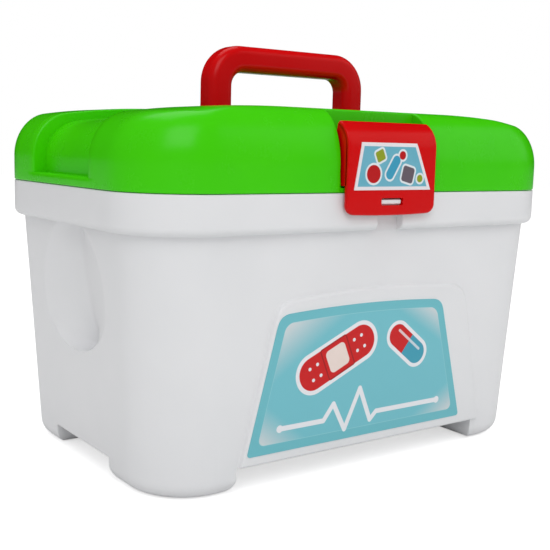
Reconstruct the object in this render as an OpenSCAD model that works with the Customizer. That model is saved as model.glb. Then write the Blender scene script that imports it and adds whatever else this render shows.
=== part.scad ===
// Toy doctor case: a tub on four corner feet, a domed lid hinged along its back edge,
// a carrying handle that folds down into a well in the lid, and a latch that closes over
// a catch on the tub's rim. Millimetres, +Z up, the front at -Y, the feet on Z = 0.

/* [Case] */
// Length of the case over its rim
case_len = 270; // [255:1:300]
// Depth of the case over its rim
case_dep = 182; // [174:1:200]
// Corner radius of the rim, seen from above
corner_r = 37.5; // [33:0.5:42]
// Height of the seam between the tub and the lid
seam_z = 144; // [138:1:160]
// Wall of the mouldings
wall = 2.2; // [1.8:0.1:2.6]
// Gap at the seam when the lid is down
seam_gap = 0.3; // [0.2:0.05:0.5]

/* [Tub] */
// Height of the rim band round the top of the tub
band_h = 19; // [16:0.5:24]
// How far the band stands out from the tub's walls
band_out = 5.3; // [4.5:0.1:7]
// Radius of the band's lower edge
band_round = 4; // [3:0.5:4.5]
// Lean of the end walls, per mm of height
lean_x = 0.058; // [0.03:0.002:0.08]
// Lean of the front and back walls, per mm of height
lean_y = 0.038; // [0.02:0.002:0.06]
// Radius of the tub's lower outer edge
foot_round = 8; // [3:0.5:9]
// Height of the arches between the front feet and between the back feet
arch_h = 13.3; // [9:0.1:16]
// Height of the arches between the feet of one end
arch_end_h = 11.5; // [9:0.1:16]
// Half width of the arch between the front feet
arch_x = 80; // [70:1:86]
// Half width of the arch between the feet of one end
arch_y = 32; // [24:1:40]
// Radius of the feet's edges along the arches
arch_round = 7.4; // [5:0.1:8.5]

/* [Hand scoops] */
// Half width of the scoop in each end wall
scoop_w = 38; // [30:1:42]
// Height of the scoop's floor
scoop_z = 60; // [50:1:70]
// Height at which the scoop is widest
scoop_mid = 87; // [80:1:95]
// Depth of the scoop under the band
scoop_d = 7; // [5:0.5:10]
// Depth of the scoop at its floor
scoop_floor_d = 17; // [12:0.5:20]

/* [Front] */
// How far the raised front panel stands out from the wall
panel_t = 2.5; // [1.5:0.1:3]
// Half width of the panel at its foot
panel_w = 81.4; // [76:0.1:86]
// Half width of the panel at its shoulders
panel_top_w = 63; // [56:1:70]
// Height of the panel's shoulders
panel_top = 92; // [84:1:98]
// Rise of the panel's arched top
panel_arch = 4; // [2:0.5:7]
// How far the panel sits right of the middle
panel_shift = 2; // [0:0.5:3]
// Half width of the front label at its foot
label_w = 71.6; // [60:0.1:73]
// Half width of the front label at its shoulders
label_top_w = 53.6; // [45:0.1:55]
// Height of the front label's lower edge
label_z = 18.4; // [15:0.1:24]
// Height of the front label's shoulders
label_top = 86.5; // [70:0.1:90]
// How far the front label's foot sits left of the middle
label_shift = 5; // [0:0.5:5]
// How far its shoulders sit left of the middle
label_top_shift = 7; // [0:0.5:7]
// Thickness of the labels
label_t = 0.3; // [0.2:0.05:0.4]

/* [Lid] */
// Height of the shoulder's start above the seam
sh_z = 13; // [9:0.5:16]
// Rise of the shoulder
sh_h = 23.5; // [21:0.5:28]
// Run of the shoulder at the ends
sh_x = 21; // [17:0.5:26]
// Run of the shoulder and crown together at the front and back
sh_y = 18; // [15:0.5:22]
// Rise of the crown above the shoulders
crown_h = 4; // [2:0.5:6]
// Depth of the channel down each end of the lid
chan_d = 7; // [4:0.5:8]
// Depth of the same channel over the top of the lid
chan_top_d = 4.3; // [3:0.1:6]
// Half width of the channels
chan_w = 34; // [28:1:38]
// Height of the channels' lower ends above the seam
chan_z = 5; // [3:0.5:8]
// Depth of the locating lip below the seam
lip_h = 3.5; // [2.5:0.5:5]
// Play between the lip and the tub's mouth
lip_gap = 0.4; // [0.3:0.05:0.6]

/* [Hinge] */
// Distance of each hinge from the middle
hinge_x = 70; // [50:1:78]
// Radius of the hinge knuckles
knuckle_r = 4; // [3.5:0.1:4.3]
// Length of one knuckle
knuckle_l = 14; // [10:0.5:18]
// Diameter of the hinge pins
pin_d = 3; // [2:0.1:3.4]
// Play of a pin in its bore, on the radius
bore_gap = 0.05; // [0.03:0.01:0.09]
// Side play between moving parts
side_gap = 0.4; // [0.3:0.05:0.6]

/* [Handle] */
// Half width of the handle
handle_w = 53; // [46:0.1:56]
// Width of each leg
leg_w = 12.6; // [11:0.1:16]
// Thickness of the handle, front to back
leg_t = 14.8; // [12:0.1:16]
// Height of the grip bar
bar_h = 14; // [12:0.1:16]
// Top of the handle above its pivot
handle_h = 44.7; // [40:0.1:48]
// Outer corner radius of the handle
handle_r = 20; // [10:0.5:22]
// Inner corner radius of the handle
grip_r = 7.5; // [4:0.5:10]
// Height of the handle's pivot above the seam
pivot_z = 30; // [28.5:0.5:31]
// How far the handle's pivot lies in front of the middle
handle_y = 2.2; // [0:0.1:3]
// Diameter of the handle's pins
handle_pin_d = 3.5; // [3:0.1:4]

/* [Latch] */
// Half width of the latch
latch_w = 29.2; // [24:0.1:32]
// How far the latch hangs below the seam
latch_drop = 11; // [9:0.5:13]
// How far the latch's face stands out from the rim
latch_out = 4.2; // [3.8:0.1:5]
// Thickness of the latch's face
latch_t = 2.4; // [2:0.1:2.8]
// Half width of the slot over the catch
slot_w = 7.2; // [5:0.1:9]
// Height of the slot over the catch
slot_h = 3.6; // [3:0.1:4.5]
// Height of the slot's middle below the seam
slot_drop = 4.2; // [3.8:0.1:5]
// Half width of the finger recess under the latch
finger_w = 8.3; // [7:0.1:10]
// How far the recess sits right of the middle
finger_shift = 3.3; // [0:0.1:4]

/* [Hidden] */
$fn = 48;
// Steps round each corner of a skinned body
corner_n = 9;

// Half sizes of the rim, and the height where the band begins
half_x = case_len / 2;
half_y = case_dep / 2;
band_z = seam_z - band_h;
lid_z = seam_z + seam_gap;
shoulder_z = seam_z + sh_z;
crown_z = shoulder_z + sh_h + crown_h;

// Run of the crown at the ends, from the shoulders' last angle to its flat middle
crown_x = 58;
sh_end = 80;

// The hinge axis lies just outside the rim, at the height of the seam
hinge_y = half_y + 0.5;
knuckle_gap = 0.4;
hinge_span = knuckle_l + 2 * (side_gap + knuckle_l / 2);

// The well that takes the folded handle
handle_z = seam_z + pivot_z;
well_gap = 0.8;
well_x = handle_w + well_gap;
well_y = handle_h + 1;
well_z = handle_z - leg_t / 2 - 0.6;
boss_r = handle_pin_d / 2 + 1.6;
handle_pin_in = 8.2;
handle_pin_out = 8.3;

// The latch hangs from a pin across the notch in the lid
latch_y = half_y + latch_out;
latch_z = seam_z - latch_drop;
latch_pin_in = 7;
latch_pin_up = 27;
latch_pin_y = half_y - latch_pin_in;
latch_pin_z = seam_z + latch_pin_up;
latch_bend = 14;
latch_bend_up = 22;
latch_bend_z = seam_z + latch_bend_up;
latch_bend_end = 67;
notch_w = latch_w + 2 * side_gap;
notch_run = 8.9;
notch_y = latch_pin_y - notch_run;
notch_z = lid_z + wall;
slot_z = seam_z - slot_drop;
catch_gap = 0.3;

// Half sizes of the tub's walls at height z
function tub_x(z) = half_x - band_out - (band_z - z) * lean_x;
function tub_y(z) = half_y - band_out - (band_z - z) * lean_y;
lean_a = atan(lean_y);

// A rectangle with round corners, by half sizes
module round_rect(hx, hy, r) {
    square([2 * hx, 2 * (hy - r)], center = true);
    square([2 * (hx - r), 2 * hy], center = true);
    for (sx = [-1, 1], sy = [-1, 1]) translate([sx * (hx - r), sy * (hy - r)]) circle(r = r);
}

// The points of such a rectangle at height z, for a skinned body
function ring(hx, hy, r, z) = [for (q = [0 : 3], i = [0 : corner_n])
    let (a = 90 * (q + i / corner_n), sx = q == 0 || q == 3 ? 1 : -1, sy = q < 2 ? 1 : -1)
        [sx * (hx - r) + r * cos(a), sy * (hy - r) + r * sin(a), z]];

// Extrudes an outline drawn in (Y, Z) along X, and one drawn in (X, Z) along Y
module along_x(x0, x1) translate([x0, 0, 0]) rotate([90, 0, 90]) linear_extrude(x1 - x0) children();
module along_y(y0, y1) translate([0, y1, 0]) rotate([90, 0, 0]) linear_extrude(y1 - y0) children();

// Skins a stack of rings, each a list of k points, with flat ends
module skin(rings) {
    k = len(rings[0]);
    n = len(rings);
    polyhedron(
        points = [for (ring = rings) for (p = ring) p],
        faces = concat(
            [[for (i = [0 : k - 1]) i]],
            [[for (i = [k - 1 : -1 : 0]) (n - 1) * k + i]],
            [for (j = [0 : n - 2], i = [0 : k - 1]) each [
                [j * k + i, (j + 1) * k + i, (j + 1) * k + (i + 1) % k],
                [j * k + i, (j + 1) * k + (i + 1) % k, j * k + (i + 1) % k]]]));
}

// The tub's tapered body up to height top, inset by g, with a rounded lower edge
module tub_core(g, top) {
    r = max(foot_round - g, 0.5);
    skin(concat(
        [for (a = [0 : 22.5 : 90])
            let (z = g + r * (1 - cos(a)), in = g + r * (1 - sin(a)))
                ring(tub_x(z) - in, tub_y(z) - in, corner_r - band_out - in, z)],
        [ring(tub_x(top) - g, tub_y(top) - g, corner_r - band_out - g, top)]));
}

// The band round the rim, inset by g, with a rounded lower edge
module band_core(g, top) {
    r = max(band_round - g, 0.5);
    skin(concat(
        [for (a = [0 : 30 : 90])
            let (in = g + r * (1 - sin(a)))
                ring(half_x - in, half_y - in, corner_r - in, band_z + g + r * (1 - cos(a)))],
        [ring(half_x - g, half_y - g, corner_r - g, top)]));
}

// The outline of an arch between two feet, by its half width and height, grown by g
module arch_outline(half, high, g) {
    r = arch_round - g;
    translate([-half - g, -1]) square([2 * (half + g), high + g + 1]);
    for (s = [-1, 1]) difference() {
        translate([s > 0 ? half + g : -half - g - r, -1]) square([r, r + g + 1]);
        translate([s * (half + g + r), r + g]) circle(r = r);
    }
}

module arches(g) {
    along_y(-half_y, half_y) arch_outline(arch_x, arch_h, g);
    along_x(-half_x, half_x) arch_outline(arch_y, arch_end_h, g);
}

// The hand scoop's mouth is an egg whose top runs up behind the band. Its floor is deepest,
// and its two sides meet in a soft crease down the middle that runs out towards the band
scoop_top = band_z - 0.25;
scoop_rise = (scoop_top - scoop_mid) * 1.08;
scoop_levels = concat(
    [for (a = [0 : 15 : 75]) scoop_mid - (scoop_mid - scoop_z) * cos(a)],
    [for (i = [0 : 5]) scoop_mid + (scoop_top - scoop_mid) * i / 5]);
function scoop_half(z) =
    let (h = z < scoop_mid ? scoop_mid - scoop_z : scoop_rise)
        scoop_w * sqrt(max(0.0004, 1 - pow((z - scoop_mid) / h, 2)));
function scoop_deep(z) =
    scoop_d + (scoop_floor_d - scoop_d) * pow(1 - (z - scoop_z) / (scoop_top - scoop_z), 3);

// The space of one scoop at the +X end, grown by g: each level is a shallow V with sides
// bowed outwards, which carry on straight past the wall, so that it is convex throughout
module scoop(g) {
    n = len(scoop_levels) - 1;
    out = 3;
    bow = 0.95;
    skin([for (i = [0 : n])
        let (zs = scoop_levels[i],
             z = i == 0 ? zs - g : i == n ? zs + g : zs,
             deep = scoop_deep(zs),
             half = scoop_half(zs) + g * 1.3,
             surface = tub_x(zs),
             wide = half * (1 + bow * out / (deep + 2 * g)),
             side = function(u) [surface - deep * u - g * min(1, 2 * u), half * pow(1 - u, bow)])
            concat([[surface + out, wide, z]],
                   [for (u = [0 : 0.25 : 1]) let (p = side(u)) [p[0], p[1], z]],
                   [for (u = [0.75 : -0.25 : 0]) let (p = side(u)) [p[0], -p[1], z]],
                   [[surface + out, -wide, z]])]);
}

module scoops(g) for (s = [0, 1]) mirror([s, 0, 0]) scoop(g);

// The finger recess in the band under the latch, grown by g
module finger_recess(g)
    along_y(-half_y - 1, -tub_y(seam_z) + g)
        translate([finger_shift - finger_w - g, band_z - 1])
            square([2 * (finger_w + g), slot_z - slot_h / 2 - 1.5 - band_z + 1 + g]);

// Places an outline drawn in (X, height along the slope) on the leaning front wall,
// with its own Z pointing out of the wall
module on_front(out) translate([0, -tub_y(0) - out, 0]) rotate([90 + lean_a, 0, 0]) children();

// The outline of a trapezoid with an arched top and round shoulders: half widths w0 at
// height z0 and w1 at z1, the arch's rise, and the length r that each shoulder rounds off
function arched(w0, w1, z0, z1, rise, r) =
    let (big = (w1 * w1 + rise * rise) / (2 * rise),
         span = asin(w1 / big),
         cut = span - r / big * 180 / PI,
         side = norm([w0 - w1, z1 - z0]),
         low = [w1 + (w0 - w1) * r / side, z1 - (z1 - z0) * r / side],
         high = [big * sin(cut), z1 + rise - big + big * cos(cut)],
         right = [for (t = [0 : 0.2 : 1])
             (1 - t) * (1 - t) * low + 2 * t * (1 - t) * [w1, z1] + t * t * high],
         top = [for (t = [0.75 : -0.25 : -0.75])
             [big * sin(cut * t), z1 + rise - big + big * cos(cut * t)]])
    concat([[-w0, z0], [w0, z0]], right, top,
           [for (i = [len(right) - 1 : -1 : 0]) [-right[i][0], right[i][1]]]);

panel_r = 9;
panel_bevel = 1.4;
function at_depth(points, z) = [for (p = points) [p[0], p[1], z]];
module front_panel() on_front(0) translate([panel_shift, 0, 0])
    skin([for (step = [[-wall / 2, 0], [panel_t - panel_bevel, 0], [panel_t, panel_bevel]])
        at_depth(arched(panel_w - step[1], panel_top_w - step[1], arch_h, panel_top - step[1],
                        panel_arch, panel_r), step[0])]);

// The catch behind the latch's slot, a low wedge on the band
module catch() {
    face = latch_y - latch_t - catch_gap;
    along_x(-slot_w + 0.8, slot_w - 0.8)
        polygon([[-half_y + wall / 2, slot_z - slot_h / 2], [-face + 0.5, slot_z - slot_h / 2 + 0.4],
                 [-face, slot_z - slot_h / 2 + 0.9], [-face, slot_z + slot_h / 2 - 0.9],
                 [-half_y + wall / 2, slot_z + slot_h / 2]]);
}

// Spans of the tub's and the lid's knuckles along X, for the hinge at +X
lid_knuckle = [hinge_x - knuckle_l / 2, hinge_x + knuckle_l / 2];
tub_knuckles = [[lid_knuckle[0] - side_gap - knuckle_l / 2, lid_knuckle[0] - side_gap],
                [lid_knuckle[1] + side_gap, lid_knuckle[1] + side_gap + knuckle_l / 2]];

module on_axis(span, r) translate([span[0], hinge_y, seam_z]) rotate([0, 90, 0])
    cylinder(r = r, h = span[1] - span[0]);

module tub_hinge() for (span = tub_knuckles) {
    on_axis(span, knuckle_r);
    along_x(span[0], span[1])
        polygon([[half_y - wall / 2, seam_z], [half_y - wall / 2, band_z + 7],
                 [half_y, band_z + 7], [hinge_y + knuckle_r * 0.7, seam_z - knuckle_r * 0.7],
                 [hinge_y, seam_z]]);
}

module lid_hinge() {
    on_axis(lid_knuckle, knuckle_r);
    along_x(lid_knuckle[0], lid_knuckle[1])
        polygon([[half_y - wall / 2, lid_z], [hinge_y, seam_z],
                 [hinge_y + knuckle_r * 0.7, seam_z + knuckle_r * 0.7],
                 [half_y - 0.2, lid_z + 8], [half_y - wall / 2, lid_z + 8]]);
}

module hinge_bores() for (s = [0, 1]) mirror([s, 0, 0])
    on_axis([hinge_x - hinge_span / 2 - 1, hinge_x + hinge_span / 2 + 1], pin_d / 2 + bore_gap);

module tub() color("white") difference() {
    union() {
        difference() {
            union() {
                tub_core(0, seam_z);
                band_core(0, seam_z);
            }
            finger_recess(0);
            arches(0);
            scoops(0);
        }
        front_panel();
        catch();
        for (s = [0, 1]) mirror([s, 0, 0]) tub_hinge();
    }
    difference() {
        union() {
            tub_core(wall, seam_z + 1);
            band_core(wall, seam_z + 1);
        }
        finger_recess(wall);
        arches(wall);
        scoops(wall);
    }
    for (s = [0, 1]) mirror([s, 0, 0])
        on_axis([lid_knuckle[0] - side_gap, lid_knuckle[1] + side_gap], knuckle_r + knuckle_gap);
    hinge_bores();
}

// The lid's dome from height z0 up, its sides inset by g and its top by top. At the ends a
// quarter-round shoulder leads into a long low crown; the front and back are one tighter
// quarter-round up to the crown
module dome(g, z0, top) {
    rise = sh_h + crown_h;
    shoulder = sh_h * sin(sh_end) / rise;
    function level(ix, h) =
        let (iy = g + sh_y * (1 - sqrt(max(0, 1 - h * h))))
            ring(half_x - ix, half_y - iy, max(corner_r - (ix + iy) / 2, 6),
                 shoulder_z + (rise - top) * h);
    skin(concat(
        [ring(half_x - g, half_y - g, corner_r - g, z0)],
        [for (a = [0 : 10 : sh_end]) level(g + sh_x * (1 - cos(a)), sh_h * sin(a) / rise)],
        [for (u = [0.25 : 0.25 : 1])
            level(g + sh_x * (1 - cos(sh_end)) + crown_x * u,
                  shoulder + (1 - shoulder) * (1 - (1 - u) * (1 - u)))]));
}

// The band across the lid in which the end channels run, grown by g
module channel_zone(g) translate([-half_x - 1, -chan_w - g, lid_z + chan_z - g])
    cube([case_len + 2, 2 * (chan_w + g), crown_z]);

// The well for the handle, and the notch for the latch, grown by g
module well(g) translate([0, -handle_y, well_z - g]) linear_extrude(crown_z)
    round_rect(well_x + g, well_y + g, 4 + g);
module notch(g) translate([-notch_w - g, -half_y - 1, notch_z - g])
    cube([2 * (notch_w + g), half_y + 1 - notch_y + g, crown_z]);

module handle_axis(x0, x1, r) translate([x0, -handle_y, handle_z]) rotate([0, 90, 0])
    cylinder(r = r, h = x1 - x0);
module latch_axis(half, r) translate([-half, -latch_pin_y, latch_pin_z]) rotate([0, 90, 0])
    cylinder(r = r, h = 2 * half);

latch_boss = 5.5;

module lid() color("limegreen") difference() {
    union() {
        difference() {
            dome(0, lid_z, 0);
            difference() {
                channel_zone(0);
                dome(chan_d, lid_z, chan_top_d);
            }
            difference() {
                dome(wall, lid_z - 1, wall);
                difference() {
                    channel_zone(wall);
                    dome(chan_d + wall, lid_z - 1, chan_top_d + wall);
                }
                well(wall);
                notch(wall);
            }
        }
        intersection() {
            for (s = [0, 1]) mirror([s, 0, 0])
                handle_axis(well_x, well_x + handle_pin_out, boss_r);
            dome(chan_d, lid_z, chan_top_d);
        }
        intersection() {
            latch_axis(notch_w + latch_boss, pin_d / 2 + 1.7);
            dome(0, lid_z, 0);
        }
        lip();
        for (s = [0, 1]) mirror([s, 0, 0]) lid_hinge();
    }
    well(0);
    notch(0);
    for (s = [0, 1]) mirror([s, 0, 0]) {
        for (span = tub_knuckles)
            on_axis([span[0] - side_gap, span[1] + side_gap], knuckle_r + knuckle_gap);
        handle_axis(well_x - 1, well_x + handle_pin_out + 1, handle_pin_d / 2 + bore_gap);
    }
    latch_axis(notch_w + latch_boss + 1, pin_d / 2 + bore_gap);
    hinge_bores();
}

// The lip that drops into the tub's mouth and the shelf that carries it
module lip() {
    outer = wall + lip_gap;
    inner = outer + 1.8;
    translate([0, 0, seam_z - lip_h]) linear_extrude(lip_h + seam_gap + 2) difference() {
        round_rect(half_x - outer, half_y - outer, corner_r - outer);
        round_rect(half_x - inner, half_y - inner, corner_r - inner);
    }
    translate([0, 0, lid_z]) linear_extrude(2) difference() {
        round_rect(half_x - wall / 2, half_y - wall / 2, corner_r - wall / 2);
        round_rect(half_x - inner, half_y - inner, corner_r - inner);
    }
}

// The handle's outline from the front: a bridge with round shoulders and straight legs
module handle_outline() difference() {
    union() {
        translate([0, (handle_h - leg_t / 2) / 2 - handle_r / 2]) square(
            [2 * handle_w, handle_h + leg_t / 2 - handle_r], center = true);
        translate([0, handle_h - handle_r]) square([2 * (handle_w - handle_r), 2 * handle_r], center = true);
        for (s = [-1, 1]) translate([s * (handle_w - handle_r), handle_h - handle_r])
            circle(r = handle_r);
    }
    grip = handle_w - leg_w;
    top = handle_h - bar_h;
    translate([-grip, -leg_t]) square([2 * grip, top - grip_r + leg_t]);
    translate([-grip + grip_r, -leg_t]) square([2 * (grip - grip_r), top + leg_t]);
    for (s = [-1, 1]) translate([s * (grip - grip_r), top - grip_r]) circle(r = grip_r);
}

edge_r = 4;
module handle() color("red") difference() {
    translate([0, -handle_y, handle_z]) intersection() {
        along_y(-leg_t / 2, leg_t / 2) handle_outline();
        along_x(-handle_w, handle_w) {
            circle(r = leg_t / 2);
            translate([-leg_t / 2, 0]) square([leg_t, handle_h - edge_r]);
            translate([-leg_t / 2 + edge_r, 0]) square([leg_t - 2 * edge_r, handle_h]);
            for (s = [-1, 1]) translate([s * (leg_t / 2 - edge_r), handle_h - edge_r])
                circle(r = edge_r);
        }
        translate([0, 0, -leg_t]) linear_extrude(handle_h + 2 * leg_t)
            round_rect(handle_w, leg_t / 2, edge_r);
    }
    for (s = [0, 1]) mirror([s, 0, 0])
        handle_axis(handle_w - handle_pin_in - 0.8, handle_w + 1, handle_pin_d / 2 + bore_gap);
}

module handle_pin(s) color("silver") mirror([s, 0, 0])
    handle_axis(handle_w - handle_pin_in, well_x + handle_pin_out, handle_pin_d / 2);
module handle_pin_right() handle_pin(0);
module handle_pin_left() handle_pin(1);

// The latch's face from the side, from its lower edge up and over the bend, t thick,
// standing g off the latch's own face
module latch_profile(g, t, z0) {
    r = latch_bend + g;
    translate([-latch_y - g, z0]) square([t, latch_bend_z - z0]);
    translate([-latch_y + latch_bend, latch_bend_z]) intersection() {
        difference() {
            circle(r = r, $fn = 96);
            circle(r = r - t, $fn = 96);
        }
        polygon([[0, 0], [-2 * r, 0], [-2 * r, 2 * r],
                 [-2 * r * cos(latch_bend_end), 2 * r * sin(latch_bend_end)]]);
    }
}

// The latch's outline from the front, with round corners and a slight belly below
latch_r = 5;
module latch_outline() {
    top = crown_z;
    belly = 0.8;
    big = (latch_w * latch_w + belly * belly) / (2 * belly);
    intersection() {
        union() {
            translate([-latch_w, latch_z + latch_r]) square([2 * latch_w, top - latch_z - latch_r]);
            translate([-latch_w + latch_r, latch_z]) square([2 * (latch_w - latch_r), top - latch_z]);
            for (s = [-1, 1]) translate([s * (latch_w - latch_r), latch_z + latch_r])
                circle(r = latch_r);
        }
        union() {
            translate([0, latch_z + big]) circle(r = big, $fn = 240);
            translate([-latch_w, latch_z + 2]) square([2 * latch_w, top - latch_z]);
        }
    }
}

latch_rib = 2;
latch_rib_d = 8;
module latch() color("red") difference() {
    union() {
        intersection() {
            along_x(-latch_w, latch_w) latch_profile(0, latch_t, latch_z);
            along_y(-latch_y - 1, 0) latch_outline();
        }
        for (x = [-latch_w, -latch_rib / 2, latch_w - latch_rib])
            along_x(x, x + latch_rib) intersection() {
                polygon([[-latch_y + latch_t / 2, notch_z + 1], [-latch_y + latch_rib_d, notch_z + 1],
                         [-latch_pin_y, latch_pin_z - pin_d], [-latch_pin_y, latch_pin_z],
                         [-latch_pin_y - latch_rib, latch_pin_z + latch_rib_d],
                         [-latch_y + latch_t / 2, latch_pin_z]]);
                union() {
                    translate([-latch_y, latch_z]) square([latch_y, latch_bend_z - latch_z]);
                    translate([-latch_y + latch_bend, latch_bend_z]) circle(r = latch_bend - latch_t / 2);
                }
            }
        latch_axis(latch_w, pin_d / 2 + 1.8);
    }
    along_y(-latch_y - 1, -half_y) translate([0, slot_z]) round_slot(slot_w, slot_h / 2, 0.8);
    latch_axis(latch_w + 1, pin_d / 2 + bore_gap);
}
module round_slot(hx, hy, r) round_rect(hx, hy, r, $fn = 24);

module latch_pin() color("silver") latch_axis(notch_w + latch_boss, pin_d / 2);

module hinge_pin(s) color("silver") mirror([s, 0, 0])
    on_axis([hinge_x - hinge_span / 2, hinge_x + hinge_span / 2], pin_d / 2);
module hinge_pin_right() hinge_pin(0);
module hinge_pin_left() hinge_pin(1);

label_arch = 2;
label_r = 5;
function label_middle(z) =
    -label_shift - (label_top_shift - label_shift) * (z - label_z) / (label_top - label_z);
module front_label() color("powderblue") on_front(panel_t + 0.02) linear_extrude(label_t)
    polygon([for (p = arched(label_w, label_top_w, label_z, label_top, label_arch, label_r))
        [p[0] + label_middle(p[1]), p[1]]]);

// The latch's label follows the face up over the start of the bend
latch_label_z = 1.6;
latch_label_top = 24.5;
latch_label_w = 25.3;
latch_label_top_w = 18.1;
latch_label_shift = 3.1;
module latch_label() color("powderblue") intersection() {
    along_x(-latch_w, latch_w) latch_profile(label_t, label_t, seam_z + latch_label_z);
    along_y(-latch_y - 1, 0)
        polygon([[-latch_label_w, seam_z + latch_label_z], [latch_label_w, seam_z + latch_label_z],
                 [latch_label_top_w - latch_label_shift, seam_z + latch_label_top],
                 [-latch_label_top_w - latch_label_shift, seam_z + latch_label_top]]);
}

tub();
lid();
handle();
handle_pin_left();
handle_pin_right();
latch();
latch_pin();
hinge_pin_left();
hinge_pin_right();
front_label();
latch_label();
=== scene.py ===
import bmesh
import bpy
import numpy as np
from mathutils import Matrix


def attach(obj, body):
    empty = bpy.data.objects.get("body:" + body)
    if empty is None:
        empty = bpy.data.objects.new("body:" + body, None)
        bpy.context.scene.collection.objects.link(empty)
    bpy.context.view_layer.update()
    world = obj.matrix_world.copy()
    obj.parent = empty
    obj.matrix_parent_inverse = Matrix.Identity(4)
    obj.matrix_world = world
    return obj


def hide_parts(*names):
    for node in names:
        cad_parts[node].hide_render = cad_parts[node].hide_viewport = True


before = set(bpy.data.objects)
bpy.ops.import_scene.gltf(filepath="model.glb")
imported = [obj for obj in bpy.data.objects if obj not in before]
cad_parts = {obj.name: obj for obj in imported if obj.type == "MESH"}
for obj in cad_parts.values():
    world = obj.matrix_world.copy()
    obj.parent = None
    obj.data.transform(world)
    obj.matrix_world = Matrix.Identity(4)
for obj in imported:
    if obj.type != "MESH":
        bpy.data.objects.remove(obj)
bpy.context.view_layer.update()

# Tub
# The lower half of the case, one thin-walled moulding of glossy white polypropylene with a
# stepped rim band, four hollow corner feet, a hand scoop in each end and a raised front panel.
# The hinge knuckles at the back and the latch's catch at the front are moulded with it.
mm = 0.001
wall = 2.2
half_x = 135.0
half_y = 91.0
corner_r = 37.5
seam_z = 144.0
band_z = 125.0
band_out = 5.3
band_round = 4.0
rim_round = 0.8
lean_x = 0.058
lean_y = 0.038
foot_round = 8.0
line_gap = 0.001
sharp_edge = 38


def arc(first, last, count):
    """Angles from first to last, given in degrees, evenly spaced and in radians."""
    return np.radians(np.linspace(first, last, count))


def spaced(stops, step):
    """Rising values that meet every stop, with even steps of about the given size between."""
    runs = [np.linspace(a, b, max(1, round((b - a) / step)) + 1)[:-1]
            for a, b in zip(stops[:-1], stops[1:])]
    return np.concatenate([*runs, stops[-1:]])


def edge_lines(at, r, side):
    """Grid lines for the rim of a recess that ends at the given place: those of a quarter
    round of radius r on the side of the solid face, then one line just inside the recess."""
    return at + side * np.append(r * (1 - np.sin(arc(0, 90, 5))), -line_gap)


def edge_drop(distance, r, depth):
    """Depth under a face at a distance outside a recess: the whole depth inside it, and the
    fall of a quarter round of radius r on the last stretch before it."""
    near = np.clip(r - distance, 0, r)
    return np.where(distance < 0, depth, np.minimum(r - np.sqrt(r * r - near * near), depth))


def mirrored(values):
    """Values and their opposites, in rising order and each once."""
    return np.unique(np.round(np.concatenate([-np.asarray(values), values]), 5))


class Loop:
    """The columns of a surface that runs round the case. Columns on the straight ends keep
    their Y and those on the straight sides keep their X from row to row, so that edges line
    up. Those between them keep their share of the end's last stretch, of the corner's quarter
    turn and of the side's first stretch, which the widest outline gives."""

    def __init__(self, end_y, side_x, step, cuts=()):
        self.end_y, self.side_x = end_y[-1], side_x[-1]
        rise, turn = half_y - corner_r - self.end_y, corner_r * np.pi / 2
        run = half_x - corner_r - self.side_x
        total = rise + turn + run
        self.knots = (0, rise / total, (rise + turn) / total, 1)
        stops = [1 - (x - self.side_x) / total for x in cuts if x > self.side_x]
        corner = spaced(np.unique(np.round([*self.knots, *stops], 7)), step / total)[1:-1]
        legs = [("end", 1, 1, end_y), ("corner", 1, 1, corner), ("side", 1, 1, side_x[::-1]),
                ("corner", -1, 1, corner[::-1]), ("end", -1, 1, end_y[::-1]),
                ("corner", -1, -1, corner), ("side", 1, -1, side_x),
                ("corner", 1, -1, corner[::-1])]
        kind, self.sx, self.sy = [np.concatenate([np.full(len(leg[3]), leg[i]) for leg in legs])
                                  for i in range(3)]
        self.value = np.concatenate([leg[3] for leg in legs])
        self.end = kind == "end"
        self.side = kind == "side"
        self.front = self.side & (self.sy < 0)

    def points(self, hx, hy, r, z, value=None, mid_y=0.0):
        """Points on rounded rectangles with half sizes hx and hy and corner radius r at the
        heights z, each given by row or for every point. mid_y moves the middle along Y."""
        hx, hy, r, z, mid_y = [np.asarray(v, float) for v in (hx, hy, r, z, mid_y)]
        hx, hy, r, z, mid_y = [v[:, None] if v.ndim == 1 else v for v in (hx, hy, r, z, mid_y)]
        value = self.value if value is None else value
        hy = hy + self.sy * mid_y
        up, turn, back = [np.clip((value - a) / (b - a), 0, 1)
                          for a, b in zip(self.knots[:-1], self.knots[1:])]
        corner_x = hx - r + r * np.cos(turn * np.pi / 2) - back * (hx - r - self.side_x)
        corner_y = hy - r + r * np.sin(turn * np.pi / 2) - (1 - up) * (hy - r - self.end_y)
        x = np.where(self.end, self.sx * hx, np.where(self.side, value, self.sx * corner_x))
        y = np.where(self.end, value, self.sy * np.where(self.side, hy, corner_y))
        return np.stack(np.broadcast_arrays(x, y, z), axis=-1)


def skin(rows, closed_rows=False):
    """The shell of a grid of points whose columns close on themselves. The first and last
    rows join where closed_rows says so, and are otherwise capped with one face each."""
    n, k = rows.shape[:2]
    index = np.arange(n * k).reshape(n, k)
    below = index if closed_rows else index[:-1]
    above = np.roll(index, -1, axis=0) if closed_rows else index[1:]
    quads = np.stack([below, np.roll(below, -1, 1), np.roll(above, -1, 1), above], axis=-1)
    faces = quads.reshape(-1, 4).tolist()
    if not closed_rows:
        faces += [index[0, ::-1].tolist(), index[-1].tolist()]
    return rows.reshape(-1, 3), faces


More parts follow.
